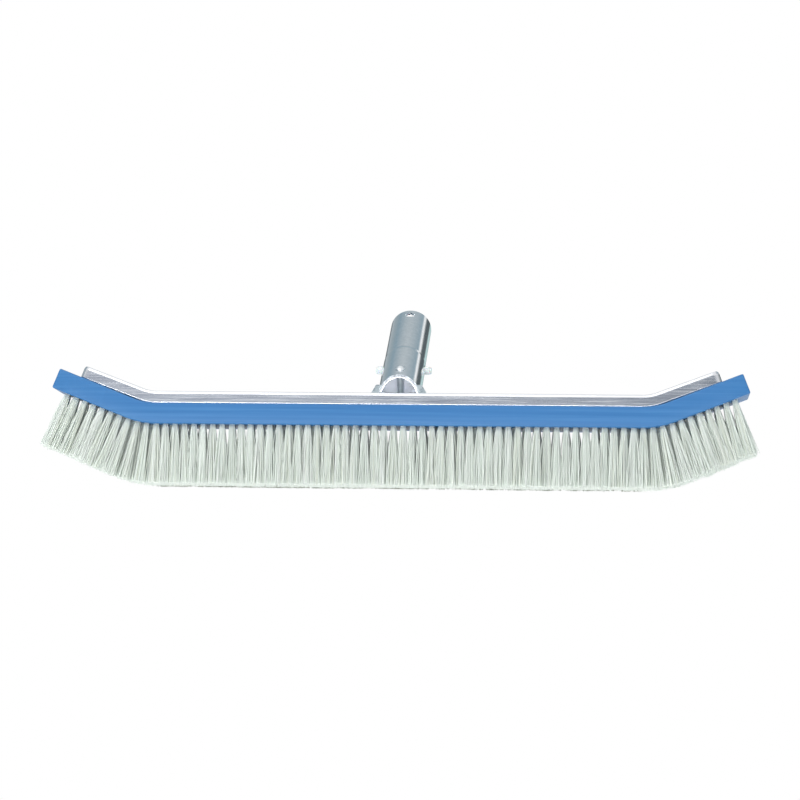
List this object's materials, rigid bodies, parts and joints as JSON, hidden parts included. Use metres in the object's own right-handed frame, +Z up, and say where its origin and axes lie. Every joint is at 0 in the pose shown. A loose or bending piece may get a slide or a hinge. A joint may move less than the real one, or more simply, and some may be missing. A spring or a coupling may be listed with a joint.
{
  "type": "pool wall brush",
  "caption": "Curved pool wall brush: blue moulded block with up-turned ends, polished aluminium back and pole socket tube, spring buttons and long stiff nylon bristles.",
  "frame": {"origin": "centre of the flat plane of trimmed bristle tips, under the middle of the block", "axes": "+X along the brush, +Y to the back, the side towards which the handle tube points, +Z up from the bristle tips to the block"},
  "size_m": [0.4796, 0.1156, 0.1285],
  "materials": {
    "block": "blue moulded plastic with a soft gloss",
    "tray": "bright drawn aluminium",
    "screw": "plain stainless steel",
    "bracket": "polished cast aluminium",
    "tube": "polished drawn tube",
    "rivet": "polished",
    "clip": "translucent white nylon",
    "bristle": "natural nylon filament",
    "staple": "flat galvanised wire"
  },
  "bodies": {
    "brush": {"brush_block": "block", "back_tray": "tray", "back_screws": "screw", "handle_bracket": "bracket", "bracket_screws": "screw", "handle_tube": "tube", "tube_rivet": "rivet", "clip_bend": "clip", "bristle_row_1": "bristle", "bristle_row_2": "bristle", "bristle_row_3": "bristle", "bristle_row_4": "bristle", "bristle_row_5": "bristle", "tuft_staples": "staple"},
    "button_left": {"clip_leg_left": "clip"},
    "button_right": {"clip_leg_right": "clip"}
  },
  "joints": [
    {"name": "press_left", "type": "hinge", "parent": "brush", "child": "button_left", "pos_m": [-0.0074, 0.06914, 0.1048], "axis": [0, -0.5, 0.866], "range_deg": [0, 5.3], "stiffness_Nm_per_rad": 4},
    {"name": "press_right", "type": "hinge", "parent": "brush", "child": "button_right", "pos_m": [0.0074, 0.06914, 0.1048], "axis": [0, 0.5, -0.866], "range_deg": [0, 5.3], "stiffness_Nm_per_rad": 4}
  ]
}
